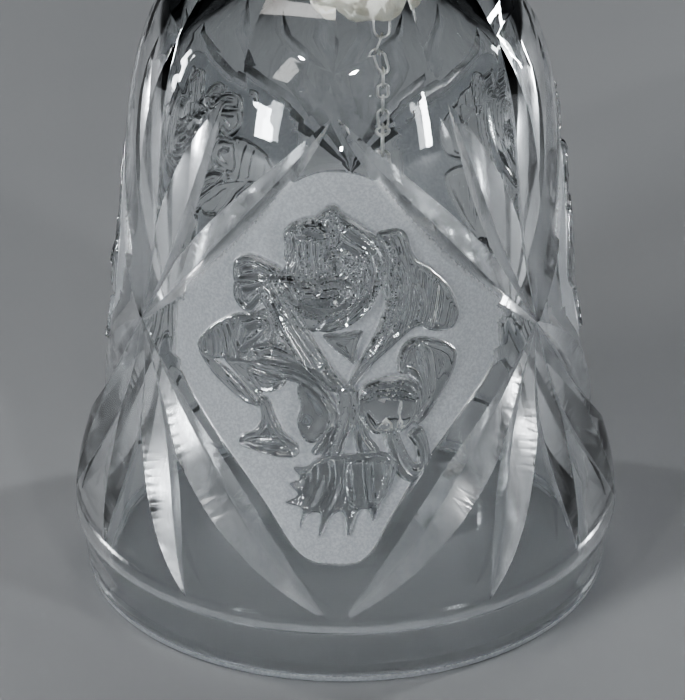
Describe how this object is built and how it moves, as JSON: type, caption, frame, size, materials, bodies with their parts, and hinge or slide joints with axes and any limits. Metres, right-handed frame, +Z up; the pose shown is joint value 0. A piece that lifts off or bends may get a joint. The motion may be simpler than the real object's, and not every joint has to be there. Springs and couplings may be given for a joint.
{
  "type": "glass bell",
  "caption": "Clear cut-glass dinner bell with frosted rose panels, a faceted handle and a bead clapper on a fine chain.",
  "frame": {"origin": "centre of the rim, on the plane the bell stands on", "axes": "+Z up through the handle, -Y towards the middle of one rose panel"},
  "size_m": [0.0758, 0.0758, 0.152],
  "materials": {
    "crystal": "polished cut crystal with acid-frosted panels",
    "cement": "rough cream cement",
    "plated_wire": "bright plated wire",
    "bead_crystal": "polished faceted bead"
  },
  "bodies": {
    "bell": {"glass_bell": "crystal", "cement_plug": "cement", "hanger_staple": "plated_wire"},
    "link_01": {"chain_link_01": "plated_wire"},
    "link_02": {"chain_link_02": "plated_wire"},
    "link_03": {"chain_link_03": "plated_wire"},
    "link_04": {"chain_link_04": "plated_wire"},
    "link_05": {"chain_link_05": "plated_wire"},
    "link_06": {"chain_link_06": "plated_wire"},
    "link_07": {"chain_link_07": "plated_wire"},
    "link_08": {"chain_link_08": "plated_wire"},
    "link_09": {"chain_link_09": "plated_wire"},
    "link_10": {"chain_link_10": "plated_wire"},
    "link_11": {"chain_link_11": "plated_wire"},
    "link_12": {"chain_link_12": "plated_wire"},
    "link_13": {"chain_link_13": "plated_wire"},
    "link_14": {"chain_link_14": "plated_wire"},
    "link_15": {"chain_link_15": "plated_wire"},
    "link_16": {"chain_link_16": "plated_wire"},
    "link_17": {"chain_link_17": "plated_wire"},
    "link_18": {"chain_link_18": "plated_wire"},
    "link_19": {"chain_link_19": "plated_wire"},
    "link_20": {"chain_link_20": "plated_wire"},
    "link_21": {"chain_link_21": "plated_wire"},
    "clapper": {"clapper_pin": "plated_wire", "clapper_bead": "bead_crystal", "clapper_cap": "plated_wire"}
  },
  "joints": [
    {"name": "link_01_swing", "type": "hinge", "parent": "bell", "child": "link_01", "pos_m": [0.0055, 0, 0.084], "axis": [1, 0, 0], "range_deg": [-16, 16]},
    {"name": "link_02_swing", "type": "hinge", "parent": "link_01", "child": "link_02", "pos_m": [0.0055, 0, 0.08108], "axis": [0, 1, 0], "range_deg": [-16, 16]},
    {"name": "link_03_swing", "type": "hinge", "parent": "link_02", "child": "link_03", "pos_m": [0.0055, 0, 0.07816], "axis": [-1, 0, 0], "range_deg": [-16, 16]},
    {"name": "link_04_swing", "type": "hinge", "parent": "link_03", "child": "link_04", "pos_m": [0.0055, 0, 0.07524], "axis": [0, -1, 0], "range_deg": [-16, 16]},
    {"name": "link_05_swing", "type": "hinge", "parent": "link_04", "child": "link_05", "pos_m": [0.0055, 0, 0.07232], "axis": [-1, 0, 0], "range_deg": [-18, 18]},
    {"name": "link_06_swing", "type": "hinge", "parent": "link_05", "child": "link_06", "pos_m": [0.0055, 0, 0.0694], "axis": [0, -1, 0], "range_deg": [-18, 18]},
    {"name": "link_07_swing", "type": "hinge", "parent": "link_06", "child": "link_07", "pos_m": [0.0055, 0, 0.06648], "axis": [1, 0, 0], "range_deg": [-18, 18]},
    {"name": "link_08_swing", "type": "hinge", "parent": "link_07", "child": "link_08", "pos_m": [0.0055, 0, 0.06356], "axis": [0, 1, 0], "range_deg": [-18, 18]},
    {"name": "link_09_swing", "type": "hinge", "parent": "link_08", "child": "link_09", "pos_m": [0.0055, 0, 0.06064], "axis": [1, 0, 0], "range_deg": [-22, 22]},
    {"name": "link_10_swing", "type": "hinge", "parent": "link_09", "child": "link_10", "pos_m": [0.0055, 0, 0.05772], "axis": [0, 1, 0], "range_deg": [-22, 22]},
    {"name": "link_11_swing", "type": "hinge", "parent": "link_10", "child": "link_11", "pos_m": [0.0055, 0, 0.0548], "axis": [-1, 0, 0], "range_deg": [-22, 22]},
    {"name": "link_12_swing", "type": "hinge", "parent": "link_11", "child": "link_12", "pos_m": [0.0055, 0, 0.05188], "axis": [0, -1, 0], "range_deg": [-22, 22]},
    {"name": "link_13_swing", "type": "hinge", "parent": "link_12", "child": "link_13", "pos_m": [0.0055, 0, 0.04896], "axis": [-1, 0, 0], "range_deg": [-28, 28]},
    {"name": "link_14_swing", "type": "hinge", "parent": "link_13", "child": "link_14", "pos_m": [0.0055, 0, 0.04604], "axis": [0, -1, 0], "range_deg": [-28, 28]},
    {"name": "link_15_swing", "type": "hinge", "parent": "link_14", "child": "link_15", "pos_m": [0.0055, 0, 0.04312], "axis": [1, 0, 0], "range_deg": [-28, 28]},
    {"name": "link_16_swing", "type": "hinge", "parent": "link_15", "child": "link_16", "pos_m": [0.0055, 0, 0.0402], "axis": [0, 1, 0], "range_deg": [-28, 28]},
    {"name": "link_17_swing", "type": "hinge", "parent": "link_16", "child": "link_17", "pos_m": [0.0055, 0, 0.03728], "axis": [1, 0, 0], "range_deg": [-36, 36]},
    {"name": "link_18_swing", "type": "hinge", "parent": "link_17", "child": "link_18", "pos_m": [0.0055, 0, 0.03436], "axis": [0, 1, 0], "range_deg": [-36, 36]},
    {"name": "link_19_swing", "type": "hinge", "parent": "link_18", "child": "link_19", "pos_m": [0.0055, 0, 0.03144], "axis": [-1, 0, 0], "range_deg": [-36, 36]},
    {"name": "link_20_swing", "type": "hinge", "parent": "link_19", "child": "link_20", "pos_m": [0.0055, 0, 0.02852], "axis": [0, -1, 0], "range_deg": [-36, 36]},
    {"name": "link_21_swing", "type": "hinge", "parent": "link_20", "child": "link_21", "pos_m": [0.0055, 0, 0.0256], "axis": [-1, 0, 0], "range_deg": [-45, 45]},
    {"name": "clapper_swing", "type": "hinge", "parent": "link_21", "child": "clapper", "pos_m": [0.0055, 0, 0.02268], "axis": [0, -1, 0], "range_deg": [-45, 45]}
  ]
}
